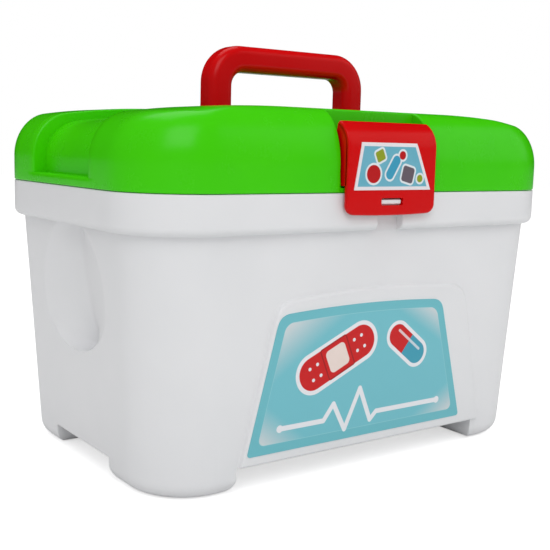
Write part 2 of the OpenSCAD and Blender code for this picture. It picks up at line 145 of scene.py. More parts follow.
def plate(lower, upper):
    """The shell between two grids of points, joined round their border."""
    n, k = lower.shape[:2]
    index = np.arange(n * k).reshape(n, k)
    quads = np.stack([index[:-1, :-1], index[1:, :-1], index[1:, 1:], index[:-1, 1:]], axis=-1)
    quads = quads.reshape(-1, 4)
    border = np.concatenate([index[:-1, 0], index[-1, :-1], index[:0:-1, -1], index[0, :0:-1]])
    ahead = np.roll(border, -1)
    rim = np.stack([border, ahead, ahead + n * k, border + n * k], axis=-1)
    faces = quads[:, ::-1].tolist() + (quads + n * k).tolist() + rim.tolist()
    return np.concatenate([lower.reshape(-1, 3), upper.reshape(-1, 3)]), faces


def joined(*shells):
    """Several shells as one: their points in a row, and their faces renumbered."""
    faces, start = [], 0
    for points, own in shells:
        faces += [[start + i for i in face] for face in own]
        start += len(points)
    return np.concatenate([points for points, own in shells]), faces


def rounded_ends(x0, x1, r):
    """Places along X from x0 to x1 with a quarter round of radius r at each end, and how far
    the outline there lies inside its full size."""
    turn = arc(0, 90, 4)
    into, inset = r * (1 - np.cos(turn)), r * (1 - np.sin(turn))
    return np.concatenate([x0 + into, x1 - into[::-1]]), np.concatenate([inset, inset[::-1]])


def prism(outline, x0, x1, r):
    """A (Y, Z) outline carried along X, shrinking about its middle at the rounded ends."""
    outline = np.asarray(outline, float)
    middle = outline.mean(axis=0)
    x, inset = rounded_ends(x0, x1, r)
    scale = 1 - inset / np.linalg.norm(outline - middle, axis=1).max()
    yz = middle + (outline - middle) * scale[:, None, None]
    return skin(np.concatenate([np.broadcast_to(x[:, None, None], (*yz.shape[:2], 1)), yz], -1))


def tube(axis_y, axis_z, x0, x1, bore, r):
    """A round sleeve along X: a bore, two end faces and an outer face with eased edges,
    turned about its axis."""
    x, inset = rounded_ends(x0, x1, 0.5)
    x = np.concatenate([[x0], x, [x1]])
    radius = np.concatenate([[bore], r - inset, [bore]])[:, None]
    turn = arc(0, 360, 41)[:-1]
    y, z = axis_y + radius * np.cos(turn), axis_z + radius * np.sin(turn)
    return skin(np.stack(np.broadcast_arrays(x[:, None], y, z), axis=-1), closed_rows=True)


def placed(name, data):
    """A new object of the scene that holds a mesh, a lamp or the camera."""
    made = bpy.data.objects.new(name, data)
    bpy.context.scene.collection.objects.link(made)
    return made


def add_piece(name, shell, body, finish, replaces):
    """A piece of the scene from points in millimetres. Its doubles are merged and its faces
    turned outwards, it is smooth except across edges sharper than the angle given, and wide
    faces lead its normals."""
    points, faces = shell
    mesh = bpy.data.meshes.new(name)
    mesh.from_pydata((np.asarray(points) * mm).tolist(), [], faces)
    shape = bmesh.new()
    shape.from_mesh(mesh)
    bmesh.ops.remove_doubles(shape, verts=shape.verts, dist=line_gap * mm / 5)
    bmesh.ops.recalc_face_normals(shape, faces=shape.faces)
    shape.to_mesh(mesh)
    shape.free()
    mesh.shade_smooth()
    mesh.set_sharp_from_angle(angle=np.radians(sharp_edge))
    mesh.materials.append(finish)
    piece = placed(name, mesh)
    piece.modifiers.new("wide faces lead", "WEIGHTED_NORMAL").keep_sharp = True
    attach(piece, body)
    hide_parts(replaces)


def wall_size(z, g):
    """Half sizes and corner radius of the tapered wall at height z, g inside its outer face.
    The taper is a straight lean, and below foot_round a quarter round turns the wall in."""
    r = foot_round - g
    drop = np.clip(foot_round - z, 0, r)
    inset = band_out + g + r - np.sqrt(r * r - drop * drop)
    return (half_x - inset - (band_z - z) * lean_x, half_y - inset - (band_z - z) * lean_y,
            corner_r - inset)


# The hand scoops in the ends: an egg-shaped mouth that runs up behind the band, and two
# hollow cheeks that meet in a soft crease and run out to a ledge at the foot.
scoop_w = 38.0
scoop_z = 60.0
scoop_mid = 87.0
scoop_rise = 41.0
scoop_d = 7.0
scoop_floor_d = 17.0
scoop_ease = 0.05
scoop_line = 48.0


def eased(share):
    """A share of one that starts level and soon rises evenly: a rounded corner at nought."""
    return ((np.sqrt(share ** 2 + scoop_ease ** 2) - scoop_ease)
            / (np.sqrt(1 + scoop_ease ** 2) - scoop_ease))


def scooped(c, z, g):
    """Where the column c lies at height z, and how deep the scoop is there. The mouth is half
    an ellipse below its widest level and part of a taller one above, columns within scoop_w
    are drawn in to it, and the depth falls off from the crease to nought at the mouth."""
    height = band_z - scoop_z
    level = scoop_z + (z - scoop_z + g) * height / (height + 2 * g)
    span = np.where(level < scoop_mid, scoop_mid - scoop_z, scoop_rise)
    half = scoop_w * np.sqrt(np.clip(1 - ((level - scoop_mid) / span) ** 2, 2e-4, 1)) + g
    share = np.clip(np.abs(c) / scoop_w, 0, 1)
    past = np.clip(np.abs(c) - scoop_w, 0, None) / (scoop_line - scoop_w)
    place = np.sign(c) * (half * share + past * (scoop_line - half))
    fall = np.clip(1 - (level - scoop_z) / height, 0, 1) ** 3
    deep = (scoop_d + (scoop_floor_d - scoop_d) * fall) * eased(1 - eased(share))
    near = (level > scoop_z - 0.01) & (level < band_z + 0.01)
    return np.where(near, place, c), np.where(near, deep, 0)


# The arches between the feet, with a wide round where each foot's edge meets the floor.
arch_x = 80.0
arch_y = 32.0
arch_h = 13.3
arch_end_h = 11.5
arch_round = 7.4
arch_edge = 0.9
arch_line = 90.0
fan_z = 32.0


def arch_foot(c, half, high, line, g):
    """Lower edge of the wall for the column c, g inside: level over the arch, straight down
    its side, round to the floor and along it. Columns near the side share that path out."""
    r = arch_round - g
    start = half - 2
    flat, upright, foot = 2 + g, high + g - arch_round, line - half - arch_round
    along = (np.clip((np.abs(c) - start) / (line - start), 0, 1)
             * (flat + upright + r * np.pi / 2 + foot))
    turn = np.clip((along - flat - upright) / r, 0, np.pi / 2)
    place = (np.minimum(np.abs(c), start) + np.clip(along, 0, flat) + r * (1 - np.cos(turn))
             + np.clip(along - flat - upright - r * np.pi / 2, 0, foot))
    return np.sign(c) * place, high + g - np.clip(along - flat, 0, upright) - r * np.sin(turn)


# The finger recess in the band under the latch, and the gaps that the hinge knuckles need.
finger_x = 3.3
finger_w = 8.3
finger_top = 136.5
finger_y = 86.4
finger_edge = 0.7
hinge_x = 70.0
hinge_y = 91.5
knuckle_r = 4.0
knuckle_l = 14.0
bore_r = 1.55
side_gap = 0.4
knuckle_gap = 0.4
knuckle_seat = 2.7
back_y = 80


def tub_rows(loop, g):
    """The tub's side g inside its outer face, from the rim down to the lower edge: the rim's
    eased edge, the band, the round under it, the tapered wall with the scoops, and a fan of
    rows that spreads from the level fan_z to the edge of the feet and arches."""
    turn = arc(90, 0, 5)
    ease = rim_round if g == 0 else -0.4
    rim_in = g + ease * (1 - np.cos(turn))
    rim_z = seam_z - abs(ease) * (1 - np.sin(turn))
    under = arc(0, 90, 8)
    r = max(band_round - g, 0.5)
    under_z = band_z + g + r * (1 - np.sin(under))
    face_z = np.sort(np.concatenate([edge_lines(finger_top, finger_edge, 1),
                                     np.linspace(under_z[0] + 1.5, rim_z[-1] - 0.8, 6)]))[::-1]
    inset = np.concatenate([rim_in, np.full(len(face_z), g), g + r * (1 - np.cos(under))])
    z = np.concatenate([rim_z, face_z, under_z])
    band = loop.points(half_x - inset, half_y - inset, corner_r - inset, z)
    recess = edge_drop(np.maximum(np.abs(band[..., 0] - finger_x) - finger_w - g,
                                  band[..., 2] - finger_top - g),
                       finger_edge, np.clip(-finger_y + g - band[..., 1], 0, None))
    band[..., 1] += np.where(loop.front, recess, 0)
    from_hinge = np.abs(np.abs(band[..., 0]) - hinge_x)
    top = np.select([from_hinge < knuckle_l / 2 + side_gap, from_hinge < knuckle_l + side_gap],
                    [seam_z - knuckle_r - knuckle_gap, seam_z - knuckle_seat], seam_z)
    band[..., 2] = np.where(band[..., 1] > back_y, np.minimum(band[..., 2], top), band[..., 2])

    low = scoop_z - g
    mid_z = scoop_mid - (scoop_mid - low) * np.cos(arc(0, 90, 18))
    wall_z = np.concatenate([[fan_z], np.linspace(fan_z + 8, low - 6, 3), [low - 0.02], mid_z,
                             np.linspace(scoop_mid, band_z + g, 16)[1:]])[::-1]
    place, deep = scooped(np.where(loop.end, loop.value, 0), wall_z[:, None], g)
    side = loop.points(*wall_size(wall_z, g), wall_z, np.where(loop.end, place, loop.value))
    side[..., 0] -= np.where(loop.end, loop.sx * deep, 0)

    end_c, end_z = arch_foot(loop.value, arch_y, arch_end_h, scoop_line, g)
    side_c, side_z = arch_foot(loop.value, arch_x, arch_h, arch_line, g)
    low_c = np.where(loop.end, end_c, np.where(loop.side, side_c, loop.value))
    low_z = np.where(loop.end, end_z, np.where(loop.side, side_z, g))
    t = np.array([24, 19, 15, 12, 10, 8, 6.4, 5, 3.8, 2.8, 1.9, 1.2, 0.7, 0.35, 0.1, 0]) / fan_z
    t = t[:, None]
    value = low_c + t * (loop.value - low_c)
    z = low_z + t * (fan_z - low_z)
    hx, hy, r = wall_size(z, g)
    from_edge = np.where(loop.end | loop.side, np.hypot(z - low_z, value - low_c), arch_edge)
    reach = np.clip(arch_edge - from_edge, 0, None)
    cut = arch_edge - np.sqrt(arch_edge ** 2 - reach ** 2)
    cut = cut * np.clip((low_z - g) / 2, 0, 1) * (g == 0)
    return np.concatenate([band, side, loop.points(hx - cut, hy - cut, r, z, value)])


def arch_profile(half, high, far, g):
    """Places across the base and the height of the base's face over each, from one side to
    the other: the floor of a foot, the round and upright of the arch, and its roof."""
    turn = arc(0, 90, 7)
    r = arch_round - g
    place = np.concatenate([[0, half / 2, half + g], half + arch_round - r * np.cos(turn),
                            [half + arch_round + 2, far]])
    height = np.concatenate([[high + g] * 3, arch_round - r * np.sin(turn), [g, g]])
    return np.concatenate([-place[:0:-1], place]), np.concatenate([height[:0:-1], height])


def base_face(g):
    """One face of the base, g above its underside: the higher of the two arches' profiles at
    each place, with the outermost lines drawn in to the wall."""
    x, arch_over_x = arch_profile(arch_x, arch_h, 2 * half_x, g)
    y, arch_over_y = arch_profile(arch_y, arch_end_h, 2 * half_y, g)
    z = np.maximum(arch_over_x[:, None], arch_over_y)
    x, y = np.broadcast_arrays(x[:, None], y)
    hx, hy, r = wall_size(z, 0)
    turned = corner_r - band_out - r
    inset = np.minimum(turned + 0.95, 7.5) - turned
    hx, hy, r = hx - inset, hy - inset, r - inset
    over_x, over_y = np.clip(np.abs(x) - hx + r, 0, None), np.clip(np.abs(y) - hy + r, 0, None)
    shrink = np.minimum(1, r / np.maximum(np.hypot(over_x, over_y), 1e-6))
    x = np.sign(x) * (np.minimum(np.abs(x), hx - r) + over_x * shrink)
    y = np.sign(y) * (np.minimum(np.abs(y), hy - r) + over_y * shrink)
    return np.stack([x, y, z], axis=-1)


# The raised front panel, placed on the leaning front wall.
panel_t = 2.5
panel_w = 81.4
panel_top_w = 63.0
panel_top = 92.0
panel_arch = 4.0
panel_shift = 2.0
panel_r = 9.0
panel_round = 1.4
panel_fillet = 0.9
front_lean = np.arctan(lean_y)
front_y = half_y - band_out - band_z * lean_y


def on_front(x, h, n):
    """Points on the leaning front wall: x across, h up the slope, and n out of the wall."""
    y = -front_y - n * np.cos(front_lean) - h * np.sin(front_lean)
    z = h * np.cos(front_lean) - n * np.sin(front_lean)
    return np.stack(np.broadcast_arrays(x, y, z), axis=-1)


def arched(w0, w1, z0, z1, rise, r, foot_r):
    """The outline of a trapezoid with an arched top: half widths w0 and w1 at the heights z0
    and z1, and a circular arch of the given rise over them. Each corner is rounded off by a
    parabola that starts at the distance r, or foot_r at the foot, along both its sides."""
    big = (w1 * w1 + rise * rise) / (2 * rise)
    cut = np.arcsin(w1 / big) - r / big
    foot, top_corner = np.array([w0, z0]), np.array([w1, z1])
    leg_way = (top_corner - foot) / np.linalg.norm(top_corner - foot)
    t = np.linspace(0, 1, 9)[:, None]

    def bend(start, corner, end):
        return (1 - t) ** 2 * start + 2 * t * (1 - t) * corner + t * t * end

    over = cut * np.linspace(1, -1, 25)
    arch = np.stack([big * np.sin(over), z1 + rise - big + big * np.cos(over)], axis=-1)
    low = bend(foot - [foot_r, 0], foot, foot + foot_r * leg_way)
    high = bend(top_corner - r * leg_way, top_corner, arch[0])
    leg = low[-1] + np.linspace(0, 1, 8)[1:-1, None] * (high[0] - low[-1])
    side = np.concatenate([low, leg, high])
    base = np.stack([np.linspace(-low[0, 0], low[0, 0], 25)[1:-1], np.full(23, z0)], axis=-1)
    return np.concatenate([base, side, arch[1:-1], side[::-1] * [-1, 1]])


def front_panel():
    """The panel as a stack of its outline: a fillet at the wall, and a quarter round up to
    the face. Its lower edge keeps to the arch between the feet until the round."""
    turn = arc(0, 90, 5)
    grow = np.concatenate([[panel_fillet], panel_fillet * (1 - np.sin(turn)),
                           -panel_round * (1 - np.cos(turn))])
    n = np.concatenate([[-1.1], panel_fillet * (1 - np.cos(turn)),
                        panel_t - panel_round * (1 - np.sin(turn))])
    rows = np.stack([arched(panel_w + out, panel_top_w + out, arch_h - min(out, 0) + 0.02,
                            panel_top + out, panel_arch, panel_r, 1.0) for out in grow])
    return skin(on_front(rows[..., 0] + panel_shift, rows[..., 1], n[:, None]))


# The catch that stands in the latch's slot, and the knuckles of the hinges with their webs.
latch_y = half_y + 4.2
slot_z = 139.8
slot_w = 7.2
slot_h = 3.6
catch_back = 0.9
catch_face = latch_y - catch_back
catch = prism([(-half_y + 1.1, slot_z - 1.8), (-catch_face + 0.5, slot_z - 1.4),
               (-catch_face, slot_z - 0.9), (-catch_face, slot_z + 0.9),
               (-half_y + 1.1, slot_z + 1.8)], -slot_w + 0.8, slot_w - 0.8, 0.3)
web_turn = arc(-45, -125, 7)
tub_web = np.concatenate([[(half_y - 1.1, band_z + 7), (half_y, band_z + 7)],
                          np.stack([hinge_y + 2.8 * np.cos(web_turn),
                                    seam_z + 2.8 * np.sin(web_turn)], axis=-1)])


def hinge_parts(web, start, end):
    """One knuckle from start to end along X on the hinge's axis, with its web."""
    return [tube(hinge_y, seam_z, start, end, bore_r, knuckle_r), prism(web, start, end, 0.3)]


tub_knuckles = []
for near in (-hinge_x - knuckle_l - side_gap, -hinge_x + knuckle_l / 2 + side_gap,
             hinge_x - knuckle_l - side_gap, hinge_x + knuckle_l / 2 + side_gap):
    tub_knuckles += hinge_parts(tub_web, near, near + knuckle_l / 2)
seats = hinge_x + np.array([-1, 1]) * (knuckle_l / 2 + side_gap)
tub_loop = Loop(spaced(mirrored([24, scoop_w, scoop_line]), 1.1),
                np.unique(np.concatenate([
                    spaced(mirrored([hinge_x - knuckle_l - side_gap, arch_x - 3, arch_line]), 3),
                    spaced([arch_x - 3, arch_line], 0.8), -spaced([arch_x - 3, arch_line], 0.8),
                    edge_lines(finger_x - finger_w, finger_edge, -1),
                    edge_lines(finger_x + finger_w, finger_edge, 1),
                    mirrored([*seats, seats[0] + line_gap, seats[1] - line_gap])])), 3)
tub_walls = skin(np.concatenate([tub_rows(tub_loop, 0), tub_rows(tub_loop, wall)[::-1]]),
                 closed_rows=True)
base_lower, base_upper = base_face(0), base_face(wall)
base_lower[..., 2] += 0.03


class Signal:
    """A socket of a material, which adds Math nodes when Python's operators are used on it."""

    def __init__(self, finish, socket):
        self.finish, self.socket = finish, socket

    def math(self, operation, *others):
        values = {i: v for i, v in enumerate([self, *others])}
        return self.finish.add("ShaderNodeMath", {"operation": operation}, values)

    def __add__(self, other):
        return self.math("ADD", other)

    def __sub__(self, other):
        return self.math("SUBTRACT", other)

    def __rsub__(self, other):
        return (self * -1).math("ADD", other)

    def __mul__(self, other):
        return self.math("MULTIPLY", other)

    def __abs__(self):
        return self.math("ABSOLUTE")

    def over(self, other):
        return self.math("MAXIMUM", other)

    def under(self, other):
        return self.math("MINIMUM", other)

    def root(self):
        return self.math("SQRT")

    def clipped(self):
        return self.over(0.0).under(1.0)

    __radd__ = __add__
    __rmul__ = __mul__


class Finish:
    """One material as it is put together. Every node comes from add, with its settings made
    first and then the values or links of its sockets, by name or by place."""

    def __init__(self, name):
        self.material = bpy.data.materials.new(name)
        self.material.use_nodes = True
        self.material.node_tree.nodes.clear()

    def add(self, kind, settings=None, sockets=None, out=0):
        node = self.material.node_tree.nodes.new(kind)
        for key, value in (settings or {}).items():
            setattr(node, key, value)
        for key, value in (sockets or {}).items():
            if isinstance(value, Signal):
                self.material.node_tree.links.new(value.socket, node.inputs[key])
            else:
                node.inputs[key].default_value = value
        return Signal(self, node.outputs[out])

    def mix(self, share, a, b):
        """The colour a where the share is nought, and b where it is one."""
        return self.add("ShaderNodeMix", {"data_type": "RGBA"}, {0: share, 6: a, 7: b}, out=2)

    def noise(self, place, scale, detail=2.0):
        """Soft random values about a half, with so many cells per metre."""
        return self.add("ShaderNodeTexNoise", None,
                        {"Vector": place, "Scale": scale, "Detail": detail, "Roughness": 0.5})

    def place(self):
        """Object coordinates, in metres."""
        return self.add("ShaderNodeTexCoord", out=3)

    def across_and_up(self, place, lean):
        """X, and the way up a wall that leans by an angle, in millimetres."""
        across = self.add("ShaderNodeSeparateXYZ", None, {0: place})
        up = Signal(self, across.socket.node.outputs[2])
        return across * 1000.0, up * float(1000.0 / np.cos(lean))

    def surface(self, sockets, heights):
        """The surface itself, with a Bump node for each (height, depth in metres)."""
        normal = None
        for height, depth in heights:
            lower = {"Normal": normal} if normal else {}
            normal = self.add("ShaderNodeBump", None,
                              {"Height": height, "Strength": 1.0, "Distance": depth, **lower})
        shader = self.add("ShaderNodeBsdfPrincipled", None, {**sockets, "Normal": normal})
        self.add_output(shader)
        return self.material

    def add_output(self, shader):
        node = self.material.node_tree.nodes.new("ShaderNodeOutputMaterial")
        self.material.node_tree.links.new(shader.socket, node.inputs["Surface"])


def colour(r, g, b):
    """A colour given as it looks on a screen, from 0 to 255, as the linear one it stands for."""
    share = np.array([r, g, b]) / 255
    linear = np.where(share < 0.04045, share / 12.92, ((share + 0.055) / 1.055) ** 2.4)
    return (*linear.tolist(), 1.0)


def moulded(name, low, high, roughness, shine):
    """Moulded polypropylene: a base colour that drifts a little between two shades, a very
    soft waviness from the mould and a finer skin, and gloss that is duller in faint patches.
    shine is the strength of its mirror reflection."""
    finish = Finish(name)
    place = finish.place()
    drift = finish.noise(place, 22.0)
    patches = finish.noise(place, 60.0, 4.0)
    skin_noise = finish.noise(place, 900.0, 3.0)
    return finish.surface(
        {"Base Color": finish.mix(drift, low, high),
         "Roughness": roughness + (patches - 0.5) * 0.12 + (skin_noise - 0.5) * 0.03,
         "Specular IOR Level": shine},
        [(finish.noise(place, 45.0), 0.00012), (skin_noise, 0.00001)])


white_plastic = moulded("white moulded plastic", colour(229, 230, 232), colour(237, 237, 239),
                        0.32, 0.45)
add_piece("tub_moulding", joined(tub_walls, plate(base_lower, base_upper), front_panel(), catch,
                                 *tub_knuckles), "case", white_plastic, "tub")

# Lid
# The upper half of the case, one thin-walled moulding of glossy green polypropylene: a dome
# with a channel down each end, a well for the folded handle, a notch for the latch at the
# front and a lip that drops into the tub's mouth. Its hinge knuckles stand between the tub's.
lid_z = 144.3
shoulder_z = 157.0
dome_rise = 27.5
shoulder_rise = 23.5
shoulder_run = 21.0
front_run = 18.0
crown_run = 58.0
shoulder_end = np.radians(80)
shoulder = shoulder_rise * np.sin(shoulder_end) / dome_rise
crown_start = shoulder_run * (1 - np.cos(shoulder_end))
chan_d = 7.0
chan_top_d = 4.3
chan_w = 34.0
chan_z = 149.3
chan_round = 1.6
well_x = 53.8
well_y = 45.7
well_z = 166.0
well_r = 4.0
handle_y = -2.2
notch_x = 30.0
notch_y = 75.1
notch_z = 146.5
notch_round = 1.0
lip_in = 2.6
lip_out = 4.4
lip_d = 3.8
lip_ease = 0.5
crown_r = 12
well_ease = 1.0
well_fillet = 1.5


def dome_run(h):
    """Run in from the end at the height share h: a quarter round up to the shoulder's last
    angle, then a parabola that ends level at the share of one."""
    a = np.arcsin(np.clip(h * dome_rise / shoulder_rise, 0, np.sin(shoulder_end)))
    u = 1 - np.sqrt(np.clip((1 - h) / (1 - shoulder), 0, 1))
    return np.where(h <= shoulder, shoulder_run * (1 - np.cos(a)), crown_start + crown_run * u)


def dome_height(run):
    """Height share at a run in from the end, the inverse of dome_run."""
    a = np.arccos(np.clip(1 - run / shoulder_run, np.cos(shoulder_end), 1))
    u = np.clip((run - crown_start) / crown_run, 0, 1)
    return np.where(run <= crown_start, shoulder_rise * np.sin(a) / dome_rise,
                    shoulder + (1 - shoulder) * (1 - (1 - u) ** 2))


def lid_rows(loop, g):
    """The lid's surface g inside its outer face, from its lower edge up the side, over the
    dome to the well's mouth, and down the well to its floor. The channels and the notch are
    drops from the dome, inside lines of the grid that follow their edges."""
    outer = g == 0
    grown = np.interp(np.abs(loop.value), [0, chan_w, chan_w + chan_round, loop.end_y],
                      [0, chan_w + g, chan_w + g + 0.4 * chan_round, loop.end_y])
    aside = np.interp(np.abs(loop.value), [0, notch_x, notch_x + notch_round, loop.side_x],
                      [0, notch_x + g, notch_x + g + notch_round, loop.side_x])
    value = np.sign(loop.value) * np.where(loop.end, grown, np.where(loop.side, aside, loop.value))

    turn = arc(90, 0, 4)
    if outer:
        inset, z = lip_ease * (1 - np.cos(turn)), lid_z + lip_ease * (1 - np.sin(turn))
    else:
        inset = np.array([lip_in, lip_in, lip_in + lip_ease, lip_out - lip_ease, lip_out,
                          lip_out, g])
        z = lid_z + np.array([0, lip_ease - lip_d, -lip_d, -lip_d, lip_ease - lip_d, 2, 2])
    lip_rows = len(z)
    side_z = np.concatenate([[notch_z - g + 0.3, notch_z - g + 0.6] if outer else [],
                             edge_lines(chan_z - g, chan_round, -1), [152, 154.5]])
    side_z = np.sort(side_z[side_z > z[-1]])
    phi = np.unique(np.concatenate([np.arange(0, 90.1, 2.5), [np.degrees(np.arcsin(shoulder))]]))
    back_run = edge_lines(half_y - notch_y, notch_round, 1)
    h = np.unique(np.concatenate([np.sin(np.radians(phi)),
                                  np.sqrt(1 - (1 - back_run / front_run) ** 2)]))
    ix, iy = dome_run(h), front_run * (1 - np.sqrt(1 - h * h))
    flat = len(side_z)
    inset = np.concatenate([inset, np.full(flat, g)])
    z = np.concatenate([z, side_z])
    n = len(z)
    z = np.concatenate([z, shoulder_z + (dome_rise - g) * h])
    hx = np.concatenate([half_x - inset, half_x - g - ix])
    hy = np.concatenate([half_y - inset, half_y - g - iy])
    r = np.concatenate([corner_r - inset, np.maximum(corner_r - g - (ix + iy) / 2, crown_r)])
    level = np.concatenate([np.zeros(n), h])[:, None]
    dome = loop.points(hx, hy, r, z, value)
    x, y, z = dome[..., 0], dome[..., 1], dome[..., 2]

    past = np.clip((ix - crown_start) / crown_run, 0, 1)
    back = chan_d * (1 - np.concatenate([np.zeros(n), past]) ** 2)[:, None]
    run = half_x - g - (hx[:, None] - back) - chan_d
    floor = np.where(level > 0, shoulder_z + (dome_rise - chan_top_d - g) * dome_height(run), z)
    share = edge_drop(np.maximum(np.abs(y) - chan_w - g, chan_z - g - z),
                      chan_round if outer else 0.01, chan_d) / chan_d
    share = np.where(loop.end, share, 0)
    x = x - loop.sx * back * share
    z = z - (z - floor) * share

    ahead = np.maximum(np.abs(x) - notch_x - g, y + notch_y - g)
    low = notch_z - g
    above = loop.front & (z > low)
    drop = edge_drop(ahead, notch_round if outer else 0.01, 100)
    inside = above & (ahead < 0)
    y = np.where(above & ~inside, y + drop * np.sqrt(1 - level ** 2), y)
    z = np.where(inside, low, np.where(above, z - drop * level, z))
    if not outer:
        past_lip = (np.arange(len(z)) >= lip_rows - 2)[:, None] & inside
        y = np.where(past_lip, np.maximum(y, lip_out - half_y), y)

    from_hinge = np.abs(np.abs(x) - hinge_x)
    cut = np.select([from_hinge < knuckle_l / 2, from_hinge < knuckle_l + 2 * side_gap],
                    [seam_z + knuckle_seat, seam_z + knuckle_r + knuckle_gap], 0)
    cut = np.where(y > back_y, cut, 0)
    y = np.where((cut > z) & ~outer, half_y - wall, y)
    z = np.maximum(z, cut)
    dome = np.stack([x, y, z], axis=-1)

    top = shoulder_z + dome_rise - g
    ease = well_ease if outer else 0.01
    turn = arc(0, 90, 5)
    foot = arc(0, 90, 4)
    grow = np.concatenate([g + ease * (1 - np.sin(turn)), np.full(3, g),
                           g - well_fillet * (1 - np.cos(foot))])
    reach = dome_rise - well_z + shoulder_z
    fall = np.concatenate([ease * (1 - np.cos(turn)), [3, 7, 12],
                           reach - well_fillet * (1 - np.sin(foot))])
    chan = edge_drop(np.abs(value) - chan_w - g, chan_round if outer else 0.01, chan_d) / chan_d
    chan = np.where(loop.end, chan, 0) * chan_top_d
    depth = np.maximum(fall[:, None], chan + np.where(fall < 2, fall, 0)[:, None])
    mouth = loop.points(well_x + grow, well_y + grow, well_r + grow, top - depth, value, handle_y)
    t = np.array([0.35, 0.7])
    ring_x = half_x - g - ix[-1]
    ring_y = half_y - g - iy[-1]
    between = loop.points(ring_x + t * (well_x + grow[0] - ring_x),
                          ring_y + t * (well_y + grow[0] - ring_y),
                          crown_r + t * (well_r + grow[0] - crown_r),
                          top - np.broadcast_to(chan, (2, len(chan))), value, handle_y * t)
    return np.concatenate([dome, between, mouth])


lid_web = tub_web * [1, -1] + [0, 2 * seam_z]
lid_web[0, 1] = lid_web[1, 1] = lid_z + 8
lid_cuts = np.array([-knuckle_l - 2 * side_gap, -knuckle_l / 2, knuckle_l / 2,
                     knuckle_l + 2 * side_gap]) + hinge_x
lid_loop = Loop(np.unique(np.concatenate([
                    spaced(mirrored([chan_w, 38.0]), 3),
                    edge_lines(-chan_w, chan_round, -1), edge_lines(chan_w, chan_round, 1)])),
                np.unique(np.concatenate([
                    spaced(mirrored([notch_x, 44.0]), 3),
                    edge_lines(-notch_x, notch_round, -1), edge_lines(notch_x, notch_round, 1)])),
                3, np.concatenate([lid_cuts, lid_cuts + line_gap]))
latch_pin_y = -84.0
latch_pin_z = 171.0
lid_knuckles = []
for near in (-hinge_x - knuckle_l / 2, hinge_x - knuckle_l / 2):
    lid_knuckles += hinge_parts(lid_web, near, near + knuckle_l)
pin_sleeves = [tube(latch_pin_y, latch_pin_z, start, start + 5.5, bore_r, 3.2)
               for start in (-notch_x - 5.5, notch_x)]
green_plastic = moulded("green moulded plastic", colour(60, 204, 0), colour(70, 214, 2), 0.26, 0.22)
add_piece("lid_moulding",
          joined(skin(np.concatenate([lid_rows(lid_loop, 0)[::-1], lid_rows(lid_loop, wall)])),
                 *lid_knuckles, *pin_sleeves),
          "lid", green_plastic, "lid")

# Handle
# The carrying handle, one solid moulding of glossy red polypropylene: a bridge whose two legs
# stand in the lid's well and turn on short steel pins, with well rounded edges for the hand.
handle_w = 53.0
leg_w = 14.4
leg_d = 7.4
handle_h = 44.7
bar_h = 14.0
handle_r = 20.0
grip_r = 7.5
handle_z = 174.0
handle_edge = 4.6


def run_of(x, z):
    """Points (x, z) from two arrays, or from an array and one number."""
    return np.stack(np.broadcast_arrays(x, z), axis=-1)


def handle_path():
    """Points (x, z) along the bridge's outer and inner outlines, from the foot of the right
    leg over the bar to the foot of the left one, and the half depth there. The two outlines
    turn their corners by the same angles, and below the pivot the foot is a half circle."""
    foot = arc(-88, 0, 9)
    up = np.linspace(0, handle_h - handle_r, 7)[1:-1]
    turn = arc(0, 90, 19)
    over = np.linspace(handle_w - handle_r, 0, 9)[1:]
    inner_x, inner_z = handle_w - leg_w - grip_r, handle_h - bar_h - grip_r
    outer = np.concatenate([
        run_of(handle_w, leg_d * np.sin(foot)), run_of(handle_w, up),
        run_of(handle_w - handle_r * (1 - np.cos(turn)), handle_h - handle_r * (1 - np.sin(turn))),
        run_of(over, handle_h)])
    inner = np.concatenate([
        run_of(handle_w - leg_w, leg_d * np.sin(foot)),
        run_of(handle_w - leg_w, up * inner_z / (handle_h - handle_r)),
        run_of(inner_x + grip_r * np.cos(turn), inner_z + grip_r * np.sin(turn)),
        run_of(over * inner_x / (handle_w - handle_r), handle_h - bar_h)])
    depth = np.concatenate([leg_d * np.cos(foot), np.full(32, leg_d)])
    both = [np.concatenate([side, side[-2::-1] * [-1, 1]]) for side in (outer, inner)]
    return *both, np.concatenate([depth, depth[-2::-1]])


def handle_bridge():
    """A rounded rectangle carried along the path, as wide as the two outlines are apart."""
    outer, inner, depth = handle_path()
    middle, across = (outer + inner) / 2, (outer - inner) / 2
    width = np.linalg.norm(across, axis=1)[:, None]
    across = across / width
    depth = depth[:, None]
    r = np.minimum(handle_edge, np.minimum(depth, width) - 0.05)
    turn = np.concatenate([arc(a, a + 90, 8) for a in (0, 90, 180, 270)])
    sx, sy = np.repeat([1, -1, -1, 1], 8), np.repeat([1, 1, -1, -1], 8)
    a = sx * (width - r) + r * np.cos(turn)
    b = sy * (depth - r) + r * np.sin(turn)
    x = middle[:, :1] + across[:, :1] * a
    z = middle[:, 1:] + across[:, 1:] * a
    return skin(np.stack([x, handle_y + b, handle_z + z], axis=-1))


red_plastic = moulded("red moulded plastic", colour(206, 0, 2), colour(216, 0, 4), 0.24, 0.2)
add_piece("handle_bridge", handle_bridge(), "handle", red_plastic, "handle")

# Latch
# A bent plate of glossy red polypropylene that hangs from a steel pin in the lid's notch and
# closes over the catch on the tub. Three ribs and the pin's barrel stiffen it from behind.
latch_w = 29.2
latch_z = 133.0
latch_bend = 14.0
latch_bend_z = 166.0
latch_bend_end = np.radians(67)
latch_low_r = 5.0
latch_top_r = 1.2
latch_belly = 0.8
latch_t = 2.4
latch_edge = 0.9
back_share = 0.6
latch_len = latch_bend_z - latch_z + latch_bend * latch_bend_end
slot_up = slot_z - latch_z
slot_r = 0.8


